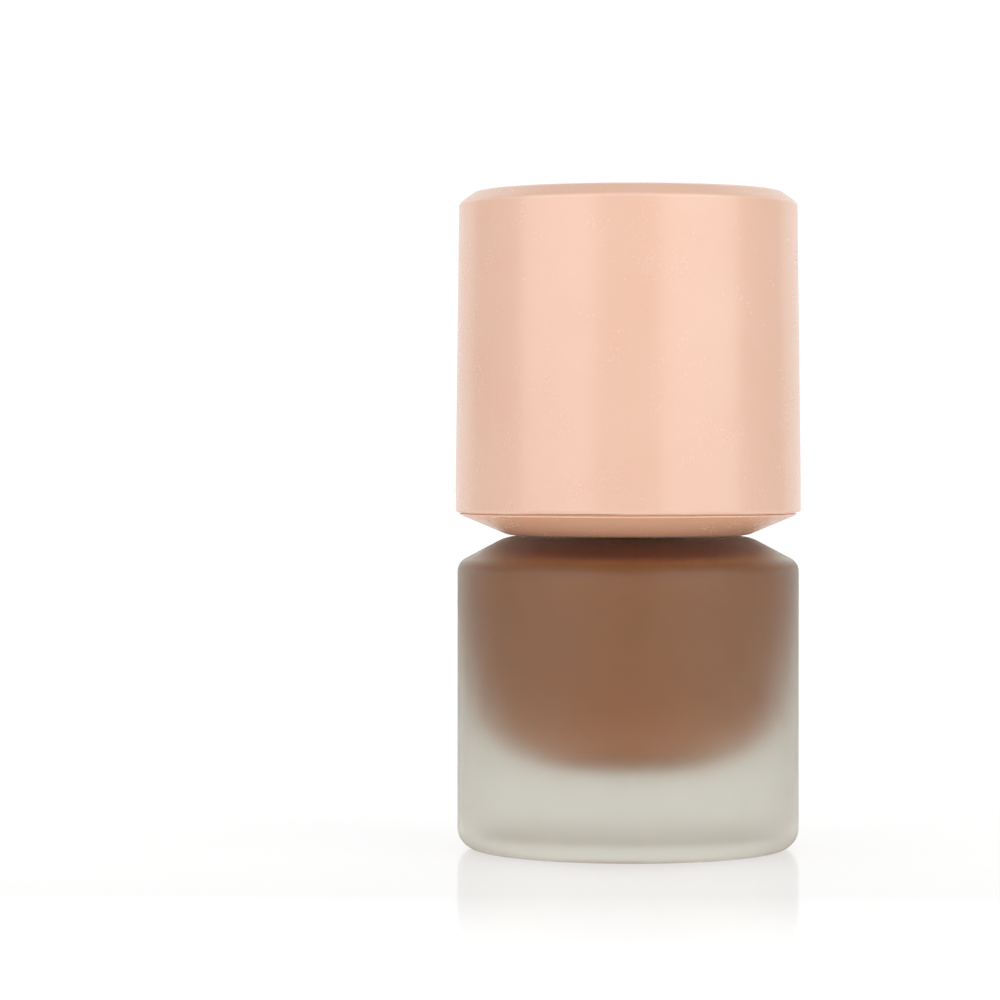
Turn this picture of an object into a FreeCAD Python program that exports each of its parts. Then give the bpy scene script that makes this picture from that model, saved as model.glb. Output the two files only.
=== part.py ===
"""Foundation bottle: a squat, thick, frosted glass bottle with a bowl-shaped inside, a screw-on treatment pump and a
tall double-walled overcap that pulls off. Millimetres, +Z up, origin at the centre of the base on the resting plane."""

import FreeCAD
import Part
import math
import os
from FreeCAD import Vector

# ---------------------------------------------------------------- driving dimensions
BOTTLE_R = 24.0            # outside radius of the glass
SHOULDER_TOP_Z = 44.0      # flat top of the shoulder, where the neck starts
NECK_TOP_Z = 53.8          # sealing face of the neck
CAP_TOP_Z = 92.4           # flat top of the overcap, the highest point
STROKE = 5.0               # travel of the pump
THREAD_LEAD = 3.0          # rise of the closure per turn

# glass bottle
BASE_CORNER_R = 3.0
BASE_RECESS_R = 16.0
BASE_RECESS_DEPTH = 0.7
SHOULDER_Z = 40.3          # height where the straight side meets the shoulder cone
SHOULDER_TOP_R = 17.05
SHOULDER_LOW_FILLET = 2.1
SHOULDER_HIGH_FILLET = 6.0
BOWL_FLOOR_Z = 11.5
BOWL_FLOOR_R = 14.05       # where the floor and the side would meet without the big fillet
BOWL_FLOOR_FILLET = 12.0
BOWL_TOP_Z = 39.4
BOWL_TOP_R = 19.2
BOWL_TOP_FILLET = 2.0
FILL_TOP_Z = 41.0
NECK_ROOT_R = 8.8
NECK_BORE_R = 6.6
THREAD_DEPTH = 1.0
THREAD_TURNS = 1.5
THREAD_START_Z = 46.6

# clearances
SNAP_GAP = 0.05            # between pieces pressed or snapped together
SLIDE_GAP = 0.05           # between a moving piece and its guide
PISTON_GAP = 0.02          # between the piston, the stem and the cylinder's bore
SEAM_GAP = 0.15            # the visible seam round the overcap's lower edge
LIQUID_GAP = 0.05
WELL_GAP = 0.4             # liquid to the pump that hangs in it

# pump
GASKET_T = 1.0
FLANGE_T = 1.2
FLANGE_R = 9.4
BARREL_R = 5.1
BARREL_BORE_R = 4.2
CAGE_LEDGE_Z = 39.0
BALL_CHAMBER_R = 2.3
INLET_THROAT_R = 1.1
INLET_SEAT_Z = 35.2
INLET_BALL_R = 1.6
TUBE_SOCKET_R = 3.0
TUBE_R = 1.8
TUBE_BORE_R = 1.2
TUBE_SOCKET_TOP_Z = 33.6
TUBE_SOCKET_LOW_Z = 27.0
TUBE_LOW_Z = 12.8
CAGE_T = 0.6
GUIDE_BOSS_R = 4.6
GUIDE_BOSS_TOP_Z = 61.0
STEM_R = 2.4
STEM_BORE_R = 1.2
STEM_LOW_Z = 48.9
STEM_TOP_Z = 72.5
STEM_FOOT_R = 3.7
STEM_FOOT_T = 1.0
PISTON_TOP_Z = 54.1
PISTON_GROOVE_R = 2.1
PISTON_GROOVE_Z = (51.3, 52.7)
OUTLET_CHAMBER_R = 1.85
OUTLET_SEAT_Z = 68.35
OUTLET_BALL_R = 1.7
SPRING_WIRE_R = 0.25
SPRING_MEAN_R = 3.3
SPRING_TURNS = 6.5

# closure and its sleeve
CLOSURE_LOW_Z = 44.6
CLOSURE_R = 11.2
CLOSURE_BORE_R = 10.05
CLOSURE_DECK_T = 1.75
SLEEVE_R = 12.2
SLEEVE_TOP_Z = 59.9
SLEEVE_LIP_T = 0.8

# actuator
ACTUATOR_R = 8.6
ACTUATOR_WALL = 1.0
ACTUATOR_LOW_Z = SLEEVE_TOP_Z + STROKE + 0.3
ACTUATOR_TOP_Z = 82.0
ACTUATOR_DISH = 0.8
ACTUATOR_CEILING_T = 0.8
SPOUT_Z = 77.2
SPOUT_TIP_X = 11.0
SPOUT_BORE_R = 2.15
SPOUT_ROOT_R = 3.1
SPOUT_TIP_R = 2.6
CORE_R = 3.5
CORE_ARM_R = 2.1
CORE_CHANNEL_R = 0.95
CORE_ARM_X = 9.0
CORE_FIN_LOW_Z = 70.0
NOZZLE_HOLE_R = 0.7

# overcap
CAP_LOW_R = 24.3           # outside radius at the lower rim
CAP_HIGH_R = 23.75         # outside radius under the top bevel
CAP_RIM_Z = 47.35
CAP_BEVEL_Z = 90.7
CAP_TOP_R = 21.4
CAP_WALL = 1.8
RING_LOW_Z = 44.15         # underside of the bevelled base ring
RING_FLAT_R = 16.9
RING_EDGE_R = 23.85
RING_SNAP_R = 22.4
LINER_LOW_R = 12.6
LINER_HIGH_R = 11.7
LINER_WALL = 1.1
LINER_LOW_Z = 44.9
LINER_TOP_Z = 87.0
LINER_ROOF_RING_R = 7.0
LINER_RIBS = 8

AXIS = Vector(0, 0, 1)
ORIGIN = Vector(0, 0, 0)


# ---------------------------------------------------------------- helpers
def outline(corners):
    """A closed face in the XZ plane. A corner is (r, z) or (r, z, fillet radius)."""
    points = [Vector(c[0], 0, c[1]) for c in corners]
    count = len(points)
    trims = []
    for i, corner in enumerate(corners):
        here = points[i]
        fillet = corner[2] if len(corner) > 2 else 0
        if not fillet:
            trims.append((here, here, None))
            continue
        before = (points[i - 1] - here).normalize()
        after = (points[(i + 1) % count] - here).normalize()
        half = before.getAngle(after) / 2
        reach = fillet / math.tan(half)
        middle = (before + after).normalize()
        centre = here + middle * (fillet / math.sin(half))
        trims.append((here + before * reach, here + after * reach, centre - middle * fillet))
    edges = []
    for i, (start, end, middle) in enumerate(trims):
        if middle is not None:
            edges.append(Part.Arc(start, middle, end).toShape())
        following = trims[(i + 1) % count][0]
        if (following - end).Length > 1e-6:
            edges.append(Part.LineSegment(end, following).toShape())
    return Part.Face(Part.Wire(edges))


def turned(*corners):
    """The solid that an outline sweeps about the Z axis."""
    return outline(corners).revolve(ORIGIN, AXIS, 360)


def rod(radius, low, high):
    return Part.makeCylinder(radius, high - low, Vector(0, 0, low), AXIS)


def rod_x(radius, low, high, z):
    """A rod along X at height z."""
    return Part.makeCylinder(radius, high - low, Vector(low, 0, z), Vector(1, 0, 0))


def around(shape, count, start_deg=0):
    """Copies of a shape evenly spaced about the Z axis."""
    copies = []
    for i in range(count):
        copy = shape.copy()
        copy.rotate(ORIGIN, AXIS, start_deg + 360 * i / count)
        copies.append(copy)
    return copies


def helical_ridge(profile, radius, low, turns):
    """A ridge whose profile, a list of (r, dz), follows a right-hand helix of the thread's lead."""
    helix = Part.makeHelix(THREAD_LEAD, THREAD_LEAD * turns, radius)
    corners = [Vector(r, 0, dz) for r, dz in profile]
    section = Part.makePolygon(corners + corners[:1])
    ridge = Part.Wire(helix).makePipeShell([section], True, True)
    ridge.translate(Vector(0, 0, low))
    return ridge


def save(name, shape):
    os.makedirs("parts", exist_ok=True)
    shape = shape.removeSplitter()
    state = "ok" if shape.isValid() and shape.Solids else "CHECK"
    print(f"{name:18s} {state} solids={len(shape.Solids)} volume={shape.Volume:.1f}")
    shape.exportStep(f"parts/{name}.step")


# ---------------------------------------------------------------- bottle
def glass_bottle():
    """Thick glass with a recessed base, a coned shoulder, a threaded neck and a deep round bowl inside."""
    glass = turned(
        (0, BASE_RECESS_DEPTH),
        (BASE_RECESS_R, BASE_RECESS_DEPTH, 0.3),
        (BASE_RECESS_R + 1.0, 0, 0.5),
        (BOTTLE_R, 0, BASE_CORNER_R),
        (BOTTLE_R, SHOULDER_Z, SHOULDER_LOW_FILLET),
        (SHOULDER_TOP_R, SHOULDER_TOP_Z, SHOULDER_HIGH_FILLET),
        (NECK_ROOT_R, SHOULDER_TOP_Z, 0.4),
        (NECK_ROOT_R, NECK_TOP_Z, 0.4),
        (NECK_BORE_R, NECK_TOP_Z, 0.4),
        (NECK_BORE_R, 42.4, 1.2),
        (BOWL_TOP_R, BOWL_TOP_Z, BOWL_TOP_FILLET),
        (BOWL_FLOOR_R, BOWL_FLOOR_Z, BOWL_FLOOR_FILLET),
        (0, BOWL_FLOOR_Z),
    )
    thread = helical_ridge(
        [
            (NECK_ROOT_R - 0.3, -0.85),
            (NECK_ROOT_R + THREAD_DEPTH, -0.3),
            (NECK_ROOT_R + THREAD_DEPTH, 0.3),
            (NECK_ROOT_R - 0.3, 0.85),
        ],
        NECK_ROOT_R,
        THREAD_START_Z,
        THREAD_TURNS,
    )
    return glass.fuse(thread)


def foundation_fill():
    """The foundation in the bowl, with a stepped well that the pump hangs in."""
    well_floor = TUBE_LOW_Z - WELL_GAP
    return turned(
        (0, BOWL_FLOOR_Z + LIQUID_GAP),
        (BOWL_FLOOR_R - LIQUID_GAP, BOWL_FLOOR_Z + LIQUID_GAP, BOWL_FLOOR_FILLET - LIQUID_GAP),
        (BOWL_TOP_R - LIQUID_GAP, BOWL_TOP_Z - LIQUID_GAP, BOWL_TOP_FILLET),
        (12.0, FILL_TOP_Z),
        (BARREL_R + WELL_GAP, FILL_TOP_Z),
        (BARREL_R + WELL_GAP, 37.6),
        (TUBE_SOCKET_R + WELL_GAP, 33.2),
        (TUBE_SOCKET_R + WELL_GAP, TUBE_SOCKET_LOW_Z - WELL_GAP),
        (TUBE_R + WELL_GAP, TUBE_SOCKET_LOW_Z - WELL_GAP),
        (TUBE_R + WELL_GAP, well_floor),
        (0, well_floor),
    )


def shade_label():
    """A thin round film label stuck in the recess of the base."""
    ceiling = BASE_RECESS_DEPTH - 0.02
    return rod(13.0, ceiling - 0.12, ceiling)


# ---------------------------------------------------------------- pump, the part that lifts with the closure
GASKET_TOP_Z = NECK_TOP_Z + GASKET_T
FLANGE_TOP_Z = GASKET_TOP_Z + FLANGE_T


def neck_gasket():
    return turned(
        (BARREL_R + 0.2, NECK_TOP_Z),
        (FLANGE_R, NECK_TOP_Z, 0.2),
        (FLANGE_R, GASKET_TOP_Z, 0.2),
        (BARREL_R + 0.2, GASKET_TOP_Z),
    )


def pump_housing():
    """The pump's cylinder, with its flange, the inlet valve's seat and the socket for the dip tube."""
    seat_top = INLET_SEAT_Z + BALL_CHAMBER_R - INLET_THROAT_R
    return turned(
        (TUBE_R + SNAP_GAP, TUBE_SOCKET_LOW_Z, 0.3),
        (TUBE_SOCKET_R, TUBE_SOCKET_LOW_Z, 0.3),
        (TUBE_SOCKET_R, 34.2, 0.5),
        (BARREL_R, 38.2, 0.5),
        (BARREL_R, GASKET_TOP_Z),
        (FLANGE_R, GASKET_TOP_Z, 0.2),
        (FLANGE_R, FLANGE_TOP_Z, 0.2),
        (BARREL_BORE_R, FLANGE_TOP_Z),
        (BARREL_BORE_R, CAGE_LEDGE_Z),
        (BALL_CHAMBER_R, CAGE_LEDGE_Z),
        (BALL_CHAMBER_R, seat_top),
        (INLET_THROAT_R, INLET_SEAT_Z),
        (INLET_THROAT_R, TUBE_SOCKET_TOP_Z),
        (TUBE_R + SNAP_GAP, TUBE_SOCKET_TOP_Z),
    )


def dip_tube():
    """The straight suction tube, cut to a notch at its lower end so that the bowl can't close it."""
    top = TUBE_SOCKET_TOP_Z - 0.2
    tube = rod(TUBE_R, TUBE_LOW_Z, top).cut(rod(TUBE_BORE_R, TUBE_LOW_Z - 1, top + 1))
    notch = Part.makeBox(2 * TUBE_R + 2, 1.6, 1.6, Vector(-TUBE_R - 1, -0.8, -0.8))
    notch.rotate(ORIGIN, Vector(1, 0, 0), 45)
    notch.translate(Vector(0, 0, TUBE_LOW_Z))
    return tube.cut(notch)


def inlet_ball():
    """A steel ball on the 45 degree seat under the pump chamber."""
    rest = INLET_SEAT_Z - INLET_THROAT_R + INLET_BALL_R * math.sqrt(2)
    return Part.makeSphere(INLET_BALL_R, Vector(0, 0, rest + 0.02))


def ball_cage():
    """The slotted disc that keeps the inlet ball down and that the spring stands on."""
    disc = rod(BARREL_BORE_R - SNAP_GAP, CAGE_LEDGE_Z, CAGE_LEDGE_Z + CAGE_T)
    slot = Part.makeBox(1.5, 0.8, CAGE_T + 2, Vector(1.0, -0.4, CAGE_LEDGE_Z - 1))
    hole = rod(0.6, CAGE_LEDGE_Z - 1, CAGE_LEDGE_Z + CAGE_T + 1)
    return disc.cut(hole).cut(Part.makeCompound(around(slot, 3)))


def return_spring():
    """The compression spring between the cage and the stem's foot."""
    low = CAGE_LEDGE_Z + CAGE_T + SPRING_WIRE_R + 0.02
    high = STEM_LOW_Z - SPRING_WIRE_R - 0.02
    helix = Part.makeHelix((high - low) / SPRING_TURNS, high - low, SPRING_MEAN_R)
    circle = Part.makeCircle(SPRING_WIRE_R, Vector(SPRING_MEAN_R, 0, 0), Vector(0, 1, 0))
    wire = Part.Wire(helix).makePipeShell([Part.Wire(circle)], True, True)
    wire.translate(Vector(0, 0, low))
    return wire


def housing_cap():
    """The guide that snaps into the top of the housing and carries the stem."""
    bore = STEM_R + SLIDE_GAP
    return turned(
        (bore, 54.2, 0.2),
        (BARREL_BORE_R - SNAP_GAP, 54.2, 0.3),
        (BARREL_BORE_R - SNAP_GAP, FLANGE_TOP_Z + 0.02),
        (FLANGE_R - 0.8, FLANGE_TOP_Z + 0.02),
        (FLANGE_R - 0.8, FLANGE_TOP_Z + FLANGE_T, 0.3),
        (GUIDE_BOSS_R, FLANGE_TOP_Z + FLANGE_T, 0.4),
        (GUIDE_BOSS_R, GUIDE_BOSS_TOP_Z, 0.6),
        (bore, GUIDE_BOSS_TOP_Z, 0.3),
    )


# ---------------------------------------------------------------- plunger, the part that goes down with the actuator
def stem():
    """The hollow rod with a foot for the spring, a groove for the piston and a valve seat near its top."""
    return turned(
        (STEM_BORE_R, STEM_LOW_Z),
        (STEM_FOOT_R, STEM_LOW_Z, 0.2),
        (STEM_FOOT_R, STEM_LOW_Z + STEM_FOOT_T, 0.2),
        (STEM_R, STEM_LOW_Z + STEM_FOOT_T),
        (STEM_R, PISTON_GROOVE_Z[0]),
        (PISTON_GROOVE_R, PISTON_GROOVE_Z[0]),
        (PISTON_GROOVE_R, PISTON_GROOVE_Z[1]),
        (STEM_R, PISTON_GROOVE_Z[1]),
        (STEM_R, STEM_TOP_Z, 0.2),
        (OUTLET_CHAMBER_R, STEM_TOP_Z, 0.15),
        (OUTLET_CHAMBER_R, OUTLET_SEAT_Z + OUTLET_CHAMBER_R - STEM_BORE_R),
        (STEM_BORE_R, OUTLET_SEAT_Z),
    )


def piston():
    """The soft piston, with a sealing lip at each end and a rib that sits in the stem's groove."""
    low = STEM_LOW_Z + STEM_FOOT_T + 0.02
    high = PISTON_TOP_Z
    bore = STEM_R + PISTON_GAP
    rib = PISTON_GROOVE_R + PISTON_GAP
    rib_low = PISTON_GROOVE_Z[0] + PISTON_GAP
    rib_high = PISTON_GROOVE_Z[1] - PISTON_GAP
    lip = BARREL_BORE_R - PISTON_GAP
    waist = 3.7
    return turned(
        (bore, low),
        (waist, low),
        (lip, low + 0.3),
        (lip, low + 0.8),
        (waist, low + 1.4),
        (waist, high - 1.4),
        (lip, high - 0.8),
        (lip, high - 0.3),
        (waist, high),
        (bore, high),
        (bore, rib_high),
        (rib, rib_high),
        (rib, rib_low),
        (bore, rib_low),
    )


def outlet_ball():
    """A steel ball on the seat in the stem's head."""
    rest = OUTLET_SEAT_Z - STEM_BORE_R + OUTLET_BALL_R * math.sqrt(2)
    return Part.makeSphere(OUTLET_BALL_R, Vector(0, 0, rest + 0.02))


# ---------------------------------------------------------------- closure and sleeve
def threaded_closure():
    """The screw cap that clamps the pump to the neck."""
    top = FLANGE_TOP_Z + FLANGE_T + 0.05 + CLOSURE_DECK_T
    deck = FLANGE_TOP_Z + FLANGE_T + 0.05
    closure = turned(
        (CLOSURE_BORE_R, CLOSURE_LOW_Z, 0.3),
        (CLOSURE_R, CLOSURE_LOW_Z, 0.3),
        (CLOSURE_R, top, 0.4),
        (GUIDE_BOSS_R + 0.6, top, 0.3),
        (GUIDE_BOSS_R + 0.6, deck),
        (CLOSURE_BORE_R, deck, 0.3),
    )
    crest = NECK_ROOT_R + 0.25
    thread = helical_ridge(
        [
            (CLOSURE_BORE_R + 0.3, -0.85),
            (CLOSURE_BORE_R + 0.3, 0.85),
            (crest, 0.3),
            (crest, -0.3),
        ],
        CLOSURE_BORE_R,
        THREAD_START_Z - THREAD_LEAD / 2 + THREAD_LEAD / 4,
        THREAD_TURNS,
    )
    thread.rotate(ORIGIN, AXIS, 90)
    return closure.fuse(thread)


def collar_sleeve():
    """The decorative sleeve pressed over the closure; the overcap grips it."""
    inside = CLOSURE_R + SNAP_GAP
    return turned(
        (inside, RING_LOW_Z + 0.1, 0.2),
        (SLEEVE_R, RING_LOW_Z + 0.1, 0.25),
        (SLEEVE_R, SLEEVE_TOP_Z, 0.7),
        (GUIDE_BOSS_R + 3.2, SLEEVE_TOP_Z, 0.3),
        (GUIDE_BOSS_R + 3.2, SLEEVE_TOP_Z - SLEEVE_LIP_T),
        (inside, SLEEVE_TOP_Z - SLEEVE_LIP_T, 0.2),
    )


# ---------------------------------------------------------------- actuator
def actuator_shell():
    """The push button with a dished top and a short spout along +X."""
    inside = ACTUATOR_R - ACTUATOR_WALL
    ceiling = ACTUATOR_TOP_Z - ACTUATOR_DISH - ACTUATOR_CEILING_T
    button = turned(
        (inside, ACTUATOR_LOW_Z, 0.25),
        (ACTUATOR_R, ACTUATOR_LOW_Z, 0.4),
        (ACTUATOR_R, ACTUATOR_TOP_Z, 0.9),
        (ACTUATOR_R - 1.4, ACTUATOR_TOP_Z, 0.2),
        (0, ACTUATOR_TOP_Z - ACTUATOR_DISH),
        (0, ceiling),
        (inside, ceiling, 0.5),
    )
    length = SPOUT_TIP_X - 6.0
    spout = Part.makeCone(SPOUT_ROOT_R, SPOUT_TIP_R, length, Vector(6.0, 0, SPOUT_Z), Vector(1, 0, 0))
    rim = [e for e in spout.Edges if abs(e.BoundBox.XMax - SPOUT_TIP_X) < 0.01 and e.BoundBox.XLength < 0.01]
    spout = spout.makeFillet(0.35, rim[:1])
    cavity = turned((0, ACTUATOR_LOW_Z), (inside, ACTUATOR_LOW_Z), (inside, ceiling), (0, ceiling))
    return button.fuse(spout.cut(cavity)).cut(rod_x(SPOUT_BORE_R, 5.0, SPOUT_TIP_X + 1, SPOUT_Z))


def actuator_core():
    """The inner carrier: a socket on the stem, a channel that turns into the spout, and four fins."""
    floor = ACTUATOR_LOW_Z + 1.3
    top = ACTUATOR_TOP_Z - ACTUATOR_DISH - ACTUATOR_CEILING_T - SNAP_GAP
    fin_r = ACTUATOR_R - ACTUATOR_WALL - SNAP_GAP
    fin_top = top - 0.8
    fin = Part.makeBox(fin_r, 1.0, fin_top - CORE_FIN_LOW_Z, Vector(1.0, -0.5, CORE_FIN_LOW_Z))
    envelope = rod(fin_r, floor, top)
    fins = [f.common(envelope) for f in around(fin, 4, 45)]
    body = rod(CORE_R, floor, top).multiFuse([rod_x(CORE_ARM_R, 0, CORE_ARM_X, SPOUT_Z), *fins])
    socket = rod(STEM_R + SNAP_GAP, floor - 1, STEM_TOP_Z + 0.1)
    riser = rod(CORE_CHANNEL_R, STEM_TOP_Z, SPOUT_Z)
    channel = rod_x(CORE_CHANNEL_R, -0.5, CORE_ARM_X + 1, SPOUT_Z)
    return body.cut(socket.multiFuse([riser, channel]))


def nozzle_insert():
    """The tip pressed into the spout, which sets the size of the dose's outlet."""
    low = CORE_ARM_X + 0.05
    tip = rod_x(SPOUT_BORE_R - SNAP_GAP, low, SPOUT_TIP_X - 0.25, SPOUT_Z)
    return tip.cut(rod_x(NOZZLE_HOLE_R, low - 1, SPOUT_TIP_X + 1, SPOUT_Z))


# ---------------------------------------------------------------- overcap
def overcap_shell():
    """The outer shell: a slightly tapered wall under a flat top with a bevelled edge."""
    ceiling = CAP_TOP_Z - CAP_WALL
    inside = RING_SNAP_R + SNAP_GAP
    return turned(
        (inside, CAP_RIM_Z, 0.1),
        (CAP_LOW_R, CAP_RIM_Z, 0.45),
        (CAP_HIGH_R, CAP_BEVEL_Z, 0.7),
        (CAP_TOP_R, CAP_TOP_Z, 1.4),
        (0, CAP_TOP_Z),
        (0, ceiling),
        (20.4, ceiling, 0.8),
        (inside - 0.2, 89.3, 0.8),
    )


def overcap_base_ring():
    """The bevelled ring that closes the gap between shell and liner; its edge makes the seam."""
    ledge = CAP_RIM_Z - SEAM_GAP
    hub = LINER_LOW_R + LINER_WALL + SNAP_GAP
    return turned(
        (hub, RING_LOW_Z, 0.3),
        (RING_FLAT_R, RING_LOW_Z, 4.0),
        (RING_EDGE_R, ledge - 0.1, 0.1),
        (RING_EDGE_R - 0.1, ledge),
        (RING_SNAP_R, ledge),
        (RING_SNAP_R, 52.0, 0.4),
        (RING_SNAP_R - 1.3, 52.0, 0.4),
        (RING_SNAP_R - 1.3, 48.0, 0.5),
        (RING_FLAT_R, 45.8, 1.5),
        (hub + 1.1, 45.8),
        (hub + 1.1, 50.0, 0.3),
        (hub, 50.0, 0.3),
    )


def overcap_liner():
    """The inner cup, glued to the shell by the ring on its roof; its step rests on the sleeve, its ribs grip it."""
    step = SLEEVE_TOP_Z + 0.1
    glued = CAP_TOP_Z - CAP_WALL - SNAP_GAP
    cup = turned(
        (LINER_LOW_R, LINER_LOW_Z, 0.3),
        (LINER_LOW_R + LINER_WALL, LINER_LOW_Z, 0.2),
        (LINER_LOW_R + LINER_WALL, step + LINER_WALL, 0.4),
        (LINER_HIGH_R + LINER_WALL, step + LINER_WALL + 1.0),
        (LINER_HIGH_R + LINER_WALL, LINER_TOP_Z + LINER_WALL, 1.0),
        (LINER_ROOF_RING_R + 1.2, LINER_TOP_Z + LINER_WALL),
        (LINER_ROOF_RING_R + 1.2, glued),
        (LINER_ROOF_RING_R, glued),
        (LINER_ROOF_RING_R, LINER_TOP_Z + LINER_WALL),
        (0, LINER_TOP_Z + LINER_WALL),
        (0, LINER_TOP_Z),
        (LINER_HIGH_R, LINER_TOP_Z, 0.8),
        (LINER_HIGH_R, step, 0.2),
        (LINER_LOW_R, step, 0.2),
    )
    reach = SLEEVE_R + SLIDE_GAP
    rib = Part.makeBox(LINER_LOW_R + 0.4 - reach, 1.0, 9.0, Vector(reach, -0.5, 48.5))
    bore = rod(reach, 40, 70)
    return cup.multiFuse([r.cut(bore) for r in around(rib, LINER_RIBS, 22.5)])


for piece in (
    glass_bottle,
    foundation_fill,
    shade_label,
    neck_gasket,
    pump_housing,
    dip_tube,
    inlet_ball,
    ball_cage,
    return_spring,
    housing_cap,
    stem,
    piston,
    outlet_ball,
    threaded_closure,
    collar_sleeve,
    actuator_shell,
    actuator_core,
    nozzle_insert,
    overcap_shell,
    overcap_base_ring,
    overcap_liner,
):
    save(piece.__name__, piece())
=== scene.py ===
import math

import bmesh
import bpy
from mathutils import Matrix, Vector


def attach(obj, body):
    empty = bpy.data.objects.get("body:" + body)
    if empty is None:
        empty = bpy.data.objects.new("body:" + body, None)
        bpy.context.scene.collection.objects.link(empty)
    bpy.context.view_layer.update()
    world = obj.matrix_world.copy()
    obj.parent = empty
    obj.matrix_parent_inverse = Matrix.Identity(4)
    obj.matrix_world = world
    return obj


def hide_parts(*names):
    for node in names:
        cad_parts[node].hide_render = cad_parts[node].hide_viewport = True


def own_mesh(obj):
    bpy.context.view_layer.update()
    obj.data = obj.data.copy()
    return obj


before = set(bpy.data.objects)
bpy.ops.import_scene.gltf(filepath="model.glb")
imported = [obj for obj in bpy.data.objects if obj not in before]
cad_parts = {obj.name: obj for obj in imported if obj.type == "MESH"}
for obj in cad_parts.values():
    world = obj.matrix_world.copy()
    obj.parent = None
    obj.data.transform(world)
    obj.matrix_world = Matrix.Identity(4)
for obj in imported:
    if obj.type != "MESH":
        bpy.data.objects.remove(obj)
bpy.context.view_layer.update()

# ------------------------------------------------------------------ sizes in millimetres, as in the CAD
MM = 0.001
BOTTLE_R = 24.0
BASE_CORNER_R = 3.0
CONE_LOW_Z = 40.3
CONE_TOP_R = 17.05
SHOULDER_TOP_Z = 44.0
NECK_ROOT_R = 8.8
NECK_TOP_Z = 53.8
NECK_BORE_R = 6.6
BOWL_FLOOR_Z = 11.5
BOWL_FLOOR_R = 14.05
BOWL_FLOOR_FILLET = 12.0
BOWL_TOP_Z = 39.4
BOWL_TOP_R = 19.2
BOWL_TOP_FILLET = 2.0
FILL_LINE_Z = 39.35
FROST_LINE_Z = 39.6        # the milky haze on the straight side ends here, where the shoulder starts
THREAD_LEAD = 3.0
CAP_TOP_Z = 92.4
CAP_TOP_R = 21.4
CAP_BEVEL_Z = 90.7
CAP_HIGH_R = 23.75
CAP_LOW_R = 24.3
CAP_CEILING_Z = 90.6
CAP_RIM_Z = 47.35
SEAM_GAP = 0.15
RING_LOW_Z = 44.15
RING_BORE_R = 13.75
RING_WALL_TOP_Z = 50.0
RING_SKIRT_R = 22.4        # the part of the ring inside the shell
RING_SKIRT_TOP_Z = 52.0
SLEEVE_R = 12.2
SLEEVE_TOP_Z = 59.9
LINER_TOP_Z = 87.0
ACTUATOR_R = 8.6
ACTUATOR_LOW_Z = 65.2
ACTUATOR_TOP_Z = 82.0
SPOUT_Z = 77.2
SPOUT_TIP_X = 11.0
SPRING_LOW_Z = 39.87
SPRING_HIGH_Z = 48.63
WET_OVERLAP = 0.06         # the foundation reaches this far into the glass, so no air film shows


# ------------------------------------------------------------------ mesh helpers
def rounded(corners, arc_step=0.18):
    """A closed profile of (r, z) or (r, z, fillet) corners as points with an edge weight.

    The weight is 1 in the middle of a tight outside fillet and 0 elsewhere.
    """
    points = []
    count = len(corners)
    for i, corner in enumerate(corners):
        here = Vector(corner[:2])
        to_before = Vector(corners[i - 1][:2]) - here
        to_after = Vector(corners[(i + 1) % count][:2]) - here
        before = to_before.normalized()
        after = to_after.normalized()
        fillet = corner[2] if len(corner) > 2 else 0
        half = before.angle(after) / 2
        reach = fillet / math.tan(half)
        if to_before.length > reach + 0.6:
            points.append((here + before * (reach + 0.2), 0.0))
        if fillet:
            middle = (before + after).normalized()
            centre = here + middle * (fillet / math.sin(half))
            start = here + before * reach - centre
            turn = math.pi - 2 * half
            outside = -before.x * after.y + before.y * after.x > 0
            steps = max(4, math.ceil(turn * fillet / arc_step))
            for k in range(steps + 1):
                angle = turn * k / steps * (1 if outside else -1)
                weight = math.sin(math.pi * k / steps) if outside and fillet < 1.5 else 0.0
                points.append((centre + Matrix.Rotation(angle, 2) @ start, weight))
        else:
            points.append((here, 0.0))
        if to_after.length > reach + 0.6:
            points.append((here + after * (reach + 0.2), 0.0))
    return points


def turned(corners, segments=192, arc_step=0.18, wave=None):
    """A bmesh of a profile turned about Z. wave(r, z, angle) gives a small shift of z in millimetres."""
    mesh = bmesh.new()
    edge = mesh.verts.layers.float.new("edge")
    rings = []
    for point, weight in rounded(corners, arc_step):
        r, z = point
        ring = []
        for k in range(segments if r > 1e-6 else 1):
            angle = 2 * math.pi * k / segments
            lift = wave(r, z, angle) if wave else 0.0
            vert = mesh.verts.new(Vector((r * math.cos(angle), r * math.sin(angle), z + lift)) * MM)
            vert[edge] = weight
            ring.append(vert)
        rings.append(ring)
    for i, ring in enumerate(rings):
        other = rings[(i + 1) % len(rings)]
        for k in range(segments):
            corners_of_face = [
                ring[k % len(ring)],
                ring[(k + 1) % len(ring)],
                other[(k + 1) % len(other)],
                other[k % len(other)],
            ]
            unique = list(dict.fromkeys(corners_of_face))
            if len(unique) > 2:
                mesh.faces.new(unique)
    bmesh.ops.recalc_face_normals(mesh, faces=mesh.faces)
    return mesh


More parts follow.
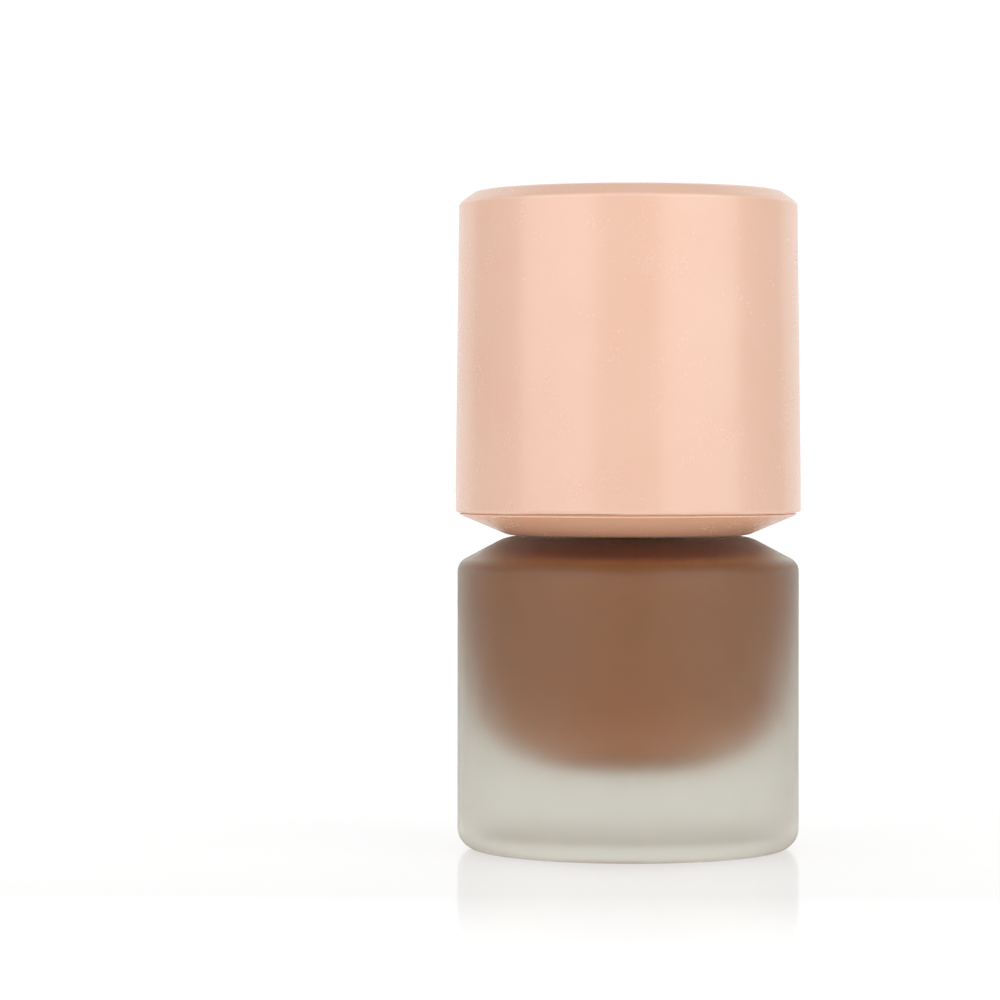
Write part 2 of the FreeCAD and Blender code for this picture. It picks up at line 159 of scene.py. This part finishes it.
def helix(profile, lead, turns, low, steps_per_turn=96, taper=0.0):
    """A bmesh of a closed profile of (r, dz) points swept up a right-hand helix.

    taper is the share of the length over which each end narrows.
    """
    mesh = bmesh.new()
    mesh.verts.layers.float.new("edge")
    count = math.ceil(turns * steps_per_turn)
    inner = min(r for r, dz in profile)
    sections = []
    for i in range(count + 1):
        share = i / count
        scale = min(1.0, share / taper, (1 - share) / taper) if taper else 1.0
        scale = max(scale, 0.05)
        angle = 2 * math.pi * turns * share
        z = low + lead * turns * share
        section = []
        for r, dz in profile:
            radius = inner + (r - inner) * scale
            point = Vector((radius * math.cos(angle), radius * math.sin(angle), z + dz))
            section.append(mesh.verts.new(point * MM))
        sections.append(section)
    size = len(profile)
    for a, b in zip(sections, sections[1:]):
        for k in range(size):
            mesh.faces.new((a[k], a[(k + 1) % size], b[(k + 1) % size], b[k]))
    mesh.faces.new(sections[0])
    mesh.faces.new(sections[-1])
    bmesh.ops.recalc_face_normals(mesh, faces=mesh.faces)
    return mesh


def block(low, high, turn_deg=0.0):
    """A bmesh box between two corners, turned about Z."""
    mesh = bmesh.new()
    mesh.verts.layers.float.new("edge")
    size = Vector(high) - Vector(low)
    centre = (Vector(high) + Vector(low)) / 2
    place = Matrix.Rotation(math.radians(turn_deg), 4, "Z") @ Matrix.Translation(centre * MM)
    bmesh.ops.create_cube(mesh, size=1.0, matrix=place @ Matrix.Diagonal((*(size * MM), 1.0)))
    return mesh


def as_object(name, mesh):
    data = bpy.data.meshes.new(name)
    mesh.to_mesh(data)
    mesh.free()
    made = bpy.data.objects.new(name, data)
    bpy.context.scene.collection.objects.link(made)
    return made


def carve(target, tools, operation):
    """Joins the tool meshes to an object, or cuts them from it."""
    for mesh in tools:
        tool = as_object("tool", mesh)
        step = target.modifiers.new("step", "BOOLEAN")
        step.operation = operation
        step.solver = "EXACT"
        step.object = tool
        depsgraph = bpy.context.evaluated_depsgraph_get()
        result = bpy.data.meshes.new_from_object(target.evaluated_get(depsgraph))
        target.modifiers.clear()
        old = target.data
        target.data = result
        result.name = old.name
        bpy.data.meshes.remove(old)
        bpy.data.meshes.remove(tool.data)
    return target


def finish_piece(piece, material, body, node, sharp_deg=35):
    """Shades the piece smooth except at sharp edges and puts it in the CAD node's place."""
    piece.data.materials.clear()
    piece.data.materials.append(material)
    piece.data.shade_smooth()
    piece.data.set_sharp_from_angle(angle=math.radians(sharp_deg))
    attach(piece, body)
    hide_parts(node)
    return piece


# ------------------------------------------------------------------ material helpers
def srgb(red, green, blue):
    """Linear RGBA of an 8 bit colour."""
    def linear(value):
        value /= 255
        return value / 12.92 if value <= 0.04045 else ((value + 0.055) / 1.055) ** 2.4
    return (linear(red), linear(green), linear(blue), 1.0)


class Look:
    """A Principled material; its textures lie in object space, so they move with the piece."""

    def __init__(self, name, **constants):
        self.material = bpy.data.materials.new(name)
        self.material.use_nodes = True
        self.tree = self.material.node_tree
        self.shader = self.tree.nodes["Principled BSDF"]
        self.place = self.add("ShaderNodeTexCoord").outputs["Object"]
        self.normal = None
        for socket, value in constants.items():
            self.shader.inputs[socket.replace("_", " ")].default_value = value

    def add(self, kind, settings=None, **inputs):
        node = self.tree.nodes.new(kind)
        for key, value in (settings or {}).items():
            setattr(node, key, value)
        for key, value in inputs.items():
            self.feed(value, node.inputs[key.replace("_", " ")])
        return node

    def feed(self, value, socket):
        if isinstance(value, bpy.types.NodeSocket):
            self.tree.links.new(value, socket)
        else:
            socket.default_value = value

    def math(self, operation, a, b=0.0, clamp=False):
        node = self.add("ShaderNodeMath", {"operation": operation, "use_clamp": clamp})
        self.feed(a, node.inputs[0])
        self.feed(b, node.inputs[1])
        return node.outputs[0]

    def remap(self, value, low, high, to_low=0.0, to_high=1.0):
        node = self.add(
            "ShaderNodeMapRange",
            Value=value,
            From_Min=low,
            From_Max=high,
            To_Min=to_low,
            To_Max=to_high,
        )
        return node.outputs["Result"]

    def noise(self, grain_mm, low=0.0, high=1.0, detail=3.0, stretch=(1, 1, 1), sharpen=0.0):
        """Noise with grains of about that size, spread over low to high."""
        vector = self.place
        if stretch != (1, 1, 1):
            vector = self.add("ShaderNodeMapping", Vector=self.place, Scale=stretch).outputs["Vector"]
        texture = self.add("ShaderNodeTexNoise", Vector=vector, Scale=1000.0 / grain_mm, Detail=detail)
        margin = 0.25 + sharpen
        return self.remap(texture.outputs["Fac"], margin, 1 - margin, low, high)

    def mix(self, share, first, second):
        node = self.add("ShaderNodeMix", {"data_type": "RGBA"}, Factor=share)
        self.feed(first, node.inputs[6])
        self.feed(second, node.inputs[7])
        return node.outputs[2]

    def attribute(self, name):
        return self.add("ShaderNodeAttribute", {"attribute_name": name}).outputs["Fac"]

    def height(self):
        """The z coordinate in millimetres."""
        z = self.add("ShaderNodeSeparateXYZ", Vector=self.place).outputs["Z"]
        return self.math("MULTIPLY", z, 1000.0)

    def bump(self, height, depth_mm, strength=1.0):
        node = self.add("ShaderNodeBump", Strength=strength, Distance=depth_mm * MM, Height=height)
        if self.normal is not None:
            self.tree.links.new(self.normal, node.inputs["Normal"])
        self.normal = node.outputs["Normal"]

    def done(self, **linked):
        for socket, value in linked.items():
            self.feed(value, self.shader.inputs[socket.replace("_", " ")])
        if self.normal is not None:
            self.tree.links.new(self.normal, self.shader.inputs["Normal"])
        return self.material


# ------------------------------------------------------------------ materials
def satin_pink(name="satin_pink", light=(232, 192, 170), deep=(229, 186, 163)):
    """Moulded plastic with a soft tone drift and a fine grain; its edges are rubbed lighter and glossier."""
    look = Look(
        name,
        IOR=1.7,
        Subsurface_Weight=0.12,
        Subsurface_Radius=(0.9, 0.45, 0.3),
        Subsurface_Scale=0.0012,
    )
    drift = look.noise(14.0, detail=2.0)
    flecks = look.noise(0.35, detail=4.0)
    rubbed = look.math("MULTIPLY", look.attribute("edge"), look.noise(1.6, 0.6, 1.0), clamp=True)
    colour = look.mix(drift, srgb(*deep), srgb(*light))
    colour = look.mix(look.math("MULTIPLY", flecks, 0.12), colour, srgb(*(tone - 8 for tone in deep)))
    colour = look.mix(look.math("MULTIPLY", rubbed, 0.45), colour, srgb(247, 214, 195))
    grain = look.noise(0.5, -0.02, 0.02)
    rough = look.math("ADD", look.noise(6.0, 0.23, 0.28), grain)
    rough = look.math("SUBTRACT", rough, look.math("MULTIPLY", rubbed, 0.08))
    look.bump(look.noise(2.6, detail=1.0), 0.010, 0.5)
    look.bump(look.noise(0.16, detail=2.0), 0.003, 0.6)
    return look.done(Base_Color=colour, Roughness=rough)


def frosted_glass():
    """Acid-etched glass with small cloudy patches, and on the straight side a milky haze that ends in a line."""
    look = Look("frosted_glass", IOR=1.5)
    cloud = look.noise(5.0, detail=3.0)
    colour = look.mix(cloud, srgb(212, 211, 199), srgb(217, 216, 205))
    rough = look.math("ADD", look.noise(3.0, 0.44, 0.52), look.noise(0.25, -0.03, 0.03))
    rough = look.math("SUBTRACT", rough, look.math("MULTIPLY", look.attribute("edge"), 0.06))
    below = look.remap(look.height(), FROST_LINE_Z + 0.03, FROST_LINE_Z - 0.03)
    haze = look.math("MULTIPLY", below, look.noise(4.0, 0.03, 0.04))
    look.bump(look.noise(0.12, detail=3.0), 0.004, 0.5)
    look.bump(look.noise(7.0, detail=1.0), 0.02, 0.4)
    clear = look.math("SUBTRACT", 1.0, haze)
    return look.done(Base_Color=colour, Roughness=rough, Transmission_Weight=clear)


def foundation():
    """Opaque cream, with a thinner film left on the wall above the fill line, coloured darker and redder there
    as painted shade from the cap's overhang.
    """
    look = Look("foundation", Subsurface_Weight=0.0, Specular_IOR_Level=0.4)
    pigment = look.noise(3.0, detail=5.0)
    body = look.mix(pigment, srgb(167, 95, 10), srgb(173, 100, 18))
    smear = look.noise(2.2, detail=6.0, stretch=(1, 1, 2.5), sharpen=0.08)
    # the film's darker, redder colour is painted shade from the cap's overhang
    film = look.mix(smear, srgb(126, 42, 4), srgb(146, 62, 14))
    wander = look.noise(4.0, -0.12, 0.12)
    height = look.math("ADD", look.height(), wander)
    above = look.remap(height, FILL_LINE_Z - 0.06, FILL_LINE_Z + 0.06)
    look.bump(smear, 0.05, 0.4)
    return look.done(Base_Color=look.mix(above, body, film), Roughness=look.noise(2.0, 0.3, 0.42))


def natural_plastic():
    """Milky unpigmented polypropylene with flow marks and a fine moulded grain."""
    look = Look(
        "natural_pp",
        Subsurface_Weight=0.35,
        Subsurface_Radius=(1.0, 0.95, 0.85),
        Subsurface_Scale=0.0008,
    )
    light = srgb(232, 231, 226)
    shade = srgb(220, 220, 217)
    flow = look.noise(5.0, detail=2.0, stretch=(1, 1, 0.3))
    rubbed = look.math("MULTIPLY", look.attribute("edge"), look.noise(0.9, 0.2, 0.9), clamp=True)
    colour = look.mix(look.math("MULTIPLY", rubbed, 0.5), look.mix(flow, light, shade), srgb(244, 244, 242))
    look.bump(look.noise(0.18, detail=3.0), 0.005, 0.5)
    look.bump(flow, 0.01, 0.3)
    return look.done(Base_Color=colour, Roughness=look.noise(0.9, 0.34, 0.46))


def gasket_foam():
    """Matt white foam with small open cells."""
    look = Look("gasket_foam")
    cells = look.add("ShaderNodeTexVoronoi", Vector=look.place, Scale=1000.0 / 0.28).outputs["Distance"]
    look.bump(cells, 0.05, 0.8)
    tone = look.mix(look.noise(1.5), srgb(222, 221, 216), srgb(206, 205, 199))
    return look.done(Base_Color=tone, Roughness=look.noise(0.6, 0.7, 0.85))


def stainless():
    """Drawn steel with fine marks along its length."""
    look = Look("stainless", Metallic=1.0)
    drawn = look.noise(0.12, detail=4.0, stretch=(1, 1, 6))
    look.bump(drawn, 0.003, 0.5)
    tone = look.mix(look.noise(0.8), srgb(206, 206, 208), srgb(184, 184, 188))
    return look.done(Base_Color=tone, Roughness=look.noise(0.3, 0.2, 0.34))


def label_film():
    """White film with a thin printed border, faintly rippled by the adhesive under it."""
    look = Look("label_film")
    flat = look.add("ShaderNodeMapping", Vector=look.place, Scale=(1, 1, 0)).outputs["Vector"]
    length = look.add("ShaderNodeVectorMath", {"operation": "LENGTH"})
    look.feed(flat, length.inputs[0])
    radius = look.math("MULTIPLY", length.outputs["Value"], 1000.0)
    off_line = look.math("ABSOLUTE", look.math("SUBTRACT", radius, 11.6))
    printed = look.remap(off_line, 0.22, 0.16)
    paper = look.mix(look.noise(1.2, detail=4.0), srgb(238, 234, 228), srgb(228, 223, 216))
    ink = look.mix(look.noise(0.4), srgb(170, 120, 100), srgb(186, 136, 116))
    look.bump(look.noise(3.0), 0.02, 0.4)
    return look.done(Base_Color=look.mix(printed, paper, ink), Roughness=look.noise(0.8, 0.42, 0.55))


PINK = satin_pink()
# a lighter, warmer copy of the cap's pink for the base ring: painted light, standing in for warm light bounced
# up onto the ring's underside
PINK_PAINTED_BOUNCE = satin_pink("satin_pink_painted_bounce", (254, 199, 167), (250, 193, 161))
GLASS = frosted_glass()
CREAM = foundation()
NATURAL = natural_plastic()
FOAM = gasket_foam()
STEEL = stainless()
FILM = label_film()


# ------------------------------------------------------------------ bottle
def neck_thread():
    crest = NECK_ROOT_R + 1.0
    root = NECK_ROOT_R - 0.3
    return helix(
        [(root, -0.85), (crest, -0.34), (crest, 0.34), (root, 0.85)],
        THREAD_LEAD,
        1.5,
        46.6,
        taper=0.07,
    )


glass = as_object(
    "glass",
    turned(
        [
            (0, 0.7),
            (16.0, 0.7, 0.3),
            (17.0, 0, 0.5),
            (BOTTLE_R, 0, BASE_CORNER_R),
            (BOTTLE_R, CONE_LOW_Z, 2.1),
            (CONE_TOP_R, SHOULDER_TOP_Z, 6.0),
            (NECK_ROOT_R, SHOULDER_TOP_Z, 0.4),
            (NECK_ROOT_R, NECK_TOP_Z, 0.4),
            (NECK_BORE_R, NECK_TOP_Z, 0.4),
            (NECK_BORE_R, 42.4, 1.2),
            (BOWL_TOP_R, BOWL_TOP_Z, BOWL_TOP_FILLET),
            (BOWL_FLOOR_R, BOWL_FLOOR_Z, BOWL_FLOOR_FILLET),
            (0, BOWL_FLOOR_Z),
        ],
        segments=256,
        arc_step=0.3,
    ),
)
carve(glass, [neck_thread()], "UNION")
finish_piece(glass, GLASS, "bottle", "glass_bottle")

cream = as_object(
    "cream",
    turned(
        [
            (0, BOWL_FLOOR_Z - WET_OVERLAP),
            (BOWL_FLOOR_R + WET_OVERLAP, BOWL_FLOOR_Z - WET_OVERLAP, BOWL_FLOOR_FILLET + WET_OVERLAP),
            (BOWL_TOP_R + WET_OVERLAP, BOWL_TOP_Z + WET_OVERLAP, BOWL_TOP_FILLET),
            (12.0, 41.2),
            (11.8, 41.0),
            (5.5, 41.0),
            (5.5, 37.6),
            (3.4, 33.2),
            (3.4, 26.6),
            (2.2, 26.6),
            (2.2, 12.4),
            (0, 12.4),
        ],
        segments=192,
        arc_step=0.4,
    ),
)
finish_piece(cream, CREAM, "bottle", "foundation_fill", sharp_deg=50)


# ------------------------------------------------------------------ overcap
def seam_wave(r, z, angle):
    """The shell's rim isn't quite even, so the seam above the ring varies a little in width."""
    if r < 22.0 or z > 49.0 or z < 46.9:
        return 0.0
    return 0.035 * math.sin(3 * angle + 0.7) + 0.02 * math.sin(7 * angle + 2.1) + 0.012 * math.sin(17 * angle)


shell = as_object(
    "cap_shell",
    turned(
        [
            (22.45, CAP_RIM_Z + 0.02, 0.1),
            (CAP_LOW_R, CAP_RIM_Z + 0.02, 0.4),
            (CAP_HIGH_R, CAP_BEVEL_Z, 0.7),
            (CAP_TOP_R, CAP_TOP_Z, 1.4),
            (0, CAP_TOP_Z),
            (0, CAP_CEILING_Z),
            (20.4, CAP_CEILING_Z, 0.8),
            (22.25, 89.3, 0.8),
        ],
        segments=256,
        wave=seam_wave,
    ),
)
finish_piece(shell, PINK, "overcap", "overcap_shell")

ledge = CAP_RIM_Z - SEAM_GAP
ring = as_object(
    "cap_base_ring",
    turned(
        [
            (RING_BORE_R, RING_LOW_Z, 0.3),
            (16.9, RING_LOW_Z, 4.0),
            (23.85, ledge - 0.1, 0.12),
            (23.7, ledge - 0.02, 0.05),
            (23.55, ledge),
            (23.5, ledge + 0.17),
            (RING_SKIRT_R, ledge + 0.17),
            (RING_SKIRT_R, RING_SKIRT_TOP_Z, 0.4),
            (21.1, RING_SKIRT_TOP_Z, 0.4),
            (21.1, 48.0, 0.5),
            (16.9, 45.8, 1.5),
            (14.85, 45.8),
            (14.85, RING_WALL_TOP_Z, 0.3),
            (RING_BORE_R, RING_WALL_TOP_Z, 0.3),
        ],
        segments=256,
    ),
)
# the ring takes the lighter, warmer pink, which has painted bounce light in its colour
finish_piece(ring, PINK_PAINTED_BOUNCE, "overcap", "overcap_base_ring")

step_z = SLEEVE_TOP_Z + 0.1
liner = as_object(
    "cap_liner",
    turned(
        [
            (12.6, 44.9, 0.3),
            (13.7, 44.9, 0.2),
            (13.7, step_z + 1.1, 0.4),
            (12.8, step_z + 2.1),
            (12.8, LINER_TOP_Z + 1.1, 1.0),
            (8.2, LINER_TOP_Z + 1.1),
            (8.2, CAP_CEILING_Z - 0.05),
            (7.0, CAP_CEILING_Z - 0.05),
            (7.0, LINER_TOP_Z + 1.1),
            (0, LINER_TOP_Z + 1.1),
            (0, LINER_TOP_Z),
            (11.7, LINER_TOP_Z, 0.8),
            (11.7, step_z, 0.2),
            (12.6, step_z, 0.2),
        ],
        segments=128,
    ),
)
grip_ribs = [block((12.28, -0.5, 48.5), (12.95, 0.5, 57.5), 22.5 + 45 * k) for k in range(8)]
carve(liner, grip_ribs, "UNION")
finish_piece(liner, NATURAL, "overcap", "overcap_liner")


# ------------------------------------------------------------------ closure
sleeve = as_object(
    "closure_sleeve",
    turned(
        [
            (11.25, RING_LOW_Z + 0.1, 0.2),
            (SLEEVE_R, RING_LOW_Z + 0.1, 0.25),
            (SLEEVE_R, SLEEVE_TOP_Z, 0.7),
            (7.8, SLEEVE_TOP_Z, 0.3),
            (7.8, SLEEVE_TOP_Z - 0.8),
            (11.25, SLEEVE_TOP_Z - 0.8, 0.2),
        ],
        segments=160,
        arc_step=0.1,
    ),
)
finish_piece(sleeve, PINK, "closure", "collar_sleeve")


# ------------------------------------------------------------------ pump head
def along_x(mesh):
    """Turns a bmesh made about Z so that its axis lies along X at the spout's height."""
    turn = Matrix.Translation((0, 0, SPOUT_Z * MM)) @ Matrix.Rotation(math.pi / 2, 4, "Y")
    bmesh.ops.transform(mesh, matrix=turn, verts=mesh.verts)
    return mesh


def push_button():
    ceiling = ACTUATOR_TOP_Z - 1.6
    inside = ACTUATOR_R - 1.0
    button = as_object(
        "push_button",
        turned(
            [
                (inside, ACTUATOR_LOW_Z, 0.25),
                (ACTUATOR_R, ACTUATOR_LOW_Z, 0.4),
                (ACTUATOR_R, ACTUATOR_TOP_Z, 0.9),
                (ACTUATOR_R - 1.4, ACTUATOR_TOP_Z, 0.3),
                (ACTUATOR_R - 3.6, ACTUATOR_TOP_Z - 0.55, 4.0),
                (0, ACTUATOR_TOP_Z - 0.8),
                (0, ceiling),
                (inside, ceiling, 0.5),
            ],
            segments=160,
            arc_step=0.12,
        ),
    )
    spout_profile = [(0, 7.9), (2.97, 7.9), (2.6, SPOUT_TIP_X, 0.35), (0, SPOUT_TIP_X)]
    spout = turned(spout_profile, segments=96, arc_step=0.05)
    carve(button, [along_x(spout)], "UNION")
    bore = turned([(0, 5.0), (2.15, 5.0), (2.15, SPOUT_TIP_X + 1), (0, SPOUT_TIP_X + 1)], segments=96)
    return carve(button, [along_x(bore)], "DIFFERENCE")


finish_piece(push_button(), PINK, "head", "actuator_shell")

wire_r = 0.25
wire = [
    (3.3 + wire_r * math.cos(2 * math.pi * k / 12), wire_r * math.sin(2 * math.pi * k / 12))
    for k in range(12)
]
spring = as_object(
    "spring",
    helix(wire, (SPRING_HIGH_Z - SPRING_LOW_Z) / 6.5, 6.5, SPRING_LOW_Z, steps_per_turn=48),
)
finish_piece(spring, STEEL, "pump_core", "return_spring", sharp_deg=60)
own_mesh(spring)

for node, material in {
    "shade_label": FILM,
    "neck_gasket": FOAM,
    "pump_housing": NATURAL,
    "dip_tube": NATURAL,
    "inlet_ball": STEEL,
    "ball_cage": NATURAL,
    "housing_cap": NATURAL,
    "stem": NATURAL,
    "piston": NATURAL,
    "outlet_ball": STEEL,
    "threaded_closure": NATURAL,
    "actuator_core": NATURAL,
    "nozzle_insert": NATURAL,
}.items():
    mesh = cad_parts[node].data
    mesh.materials.clear()
    mesh.materials.append(material)


# ------------------------------------------------------------------ floor, light and camera
def table():
    """A polished sheet of white acrylic with a painted glow: it emits light, most of all in a spot under the
    bottle and in a band in front of it.
    """
    look = Look("table", IOR=1.05, Emission_Color=(1, 1, 1, 1))
    tone = look.mix(look.noise(60.0, detail=2.0), srgb(152, 152, 152), srgb(148, 148, 148))
    look.bump(look.noise(9.0, detail=2.0), 0.01, 0.1)
    depth = look.add("ShaderNodeSeparateXYZ", Vector=look.place).outputs["Y"]
    # painted glow: a brighter band in front of the bottle that washes out its reflection, and a bright spot
    # hidden under the bottle that lights the glass base from below
    glow_ahead_painted = look.remap(depth, -0.06, -0.13, 0.55, 0.8)
    from_axis = look.add("ShaderNodeVectorMath", {"operation": "LENGTH"})
    look.feed(look.place, from_axis.inputs[0])
    glow = look.math("ADD", glow_ahead_painted, look.remap(from_axis.outputs["Value"], 0.0195, 0.021, 1.15, 0.0))
    material = look.done(Base_Color=tone, Roughness=look.noise(25.0, 0.11, 0.13), Emission_Strength=glow)
    mesh = bmesh.new()
    bmesh.ops.create_grid(mesh, x_segments=24, y_segments=24, size=4.0)
    sheet = as_object("table", mesh)
    sheet.data.materials.append(material)


def softbox(name, azimuth_deg, height, distance, width, tall, radiance, tint):
    """An area light that faces the bottle's middle; azimuth 0 is the front, positive towards +X."""
    light = bpy.data.lights.new(name, "AREA")
    light.shape = "RECTANGLE"
    light.size = width
    light.size_y = tall
    light.energy = radiance * math.pi * width * tall
    light.color = tint
    lamp = bpy.data.objects.new(name, light)
    azimuth = math.radians(azimuth_deg)
    lamp.location = (distance * math.sin(azimuth), -distance * math.cos(azimuth), height)
    aim = Vector((0, 0, 0.045)) - lamp.location
    lamp.rotation_euler = aim.to_track_quat("-Z", "Y").to_euler()
    bpy.context.scene.collection.objects.link(lamp)


def ramp(tree, value, low, high, to_low, to_high):
    node = tree.nodes.new("ShaderNodeMapRange")
    node.interpolation_type = "SMOOTHSTEP"
    tree.links.new(value, node.inputs["Value"])
    for socket, number in zip(("From Min", "From Max", "To Min", "To Max"), (low, high, to_low, to_high)):
        node.inputs[socket].default_value = number
    return node.outputs["Result"]


def studio():
    """A dim room with a white wall behind the bottle, and large soft panels on both sides of the camera."""
    world = bpy.data.worlds.new("studio")
    world.use_nodes = True
    tree = world.node_tree
    background = tree.nodes["Background"]
    direction = tree.nodes.new("ShaderNodeTexCoord")
    split = tree.nodes.new("ShaderNodeSeparateXYZ")
    tree.links.new(direction.outputs["Generated"], split.inputs["Vector"])
    wall = ramp(tree, split.outputs["Y"], 0.56, 0.64, 0.0, 0.62)
    ceiling = ramp(tree, split.outputs["Z"], 0.2, 0.8, 0.42, 0.5)
    total = tree.nodes.new("ShaderNodeMath")
    tree.links.new(wall, total.inputs[0])
    tree.links.new(ceiling, total.inputs[1])
    tree.links.new(total.outputs[0], background.inputs["Strength"])
    background.inputs["Color"].default_value = (1, 1, 1, 1)
    bpy.context.scene.world = world
    softbox("left panel", -48, 0.38, 0.9, 1.0, 1.0, 1.4, (1.0, 0.965, 0.945))
    softbox("right panel", 50, 0.38, 0.9, 1.05, 1.0, 1.5, (1.0, 0.98, 0.935))


def camera():
    """A long lens a little above the bottle's middle, turned so that the bottle stands right of the centre."""
    lens = bpy.data.cameras.new("camera")
    lens.lens = 147.2
    lens.sensor_width = 36.0
    lens.clip_start = 0.01
    made = bpy.data.objects.new("camera", lens)
    made.location = (0, -0.5756, 0.0575)
    made.rotation_euler = (math.radians(90 - 0.84), 0, math.radians(1.793))
    bpy.context.scene.collection.objects.link(made)
    bpy.context.scene.camera = made


table()
studio()
camera()
bpy.context.scene.view_settings.view_transform = "Standard"
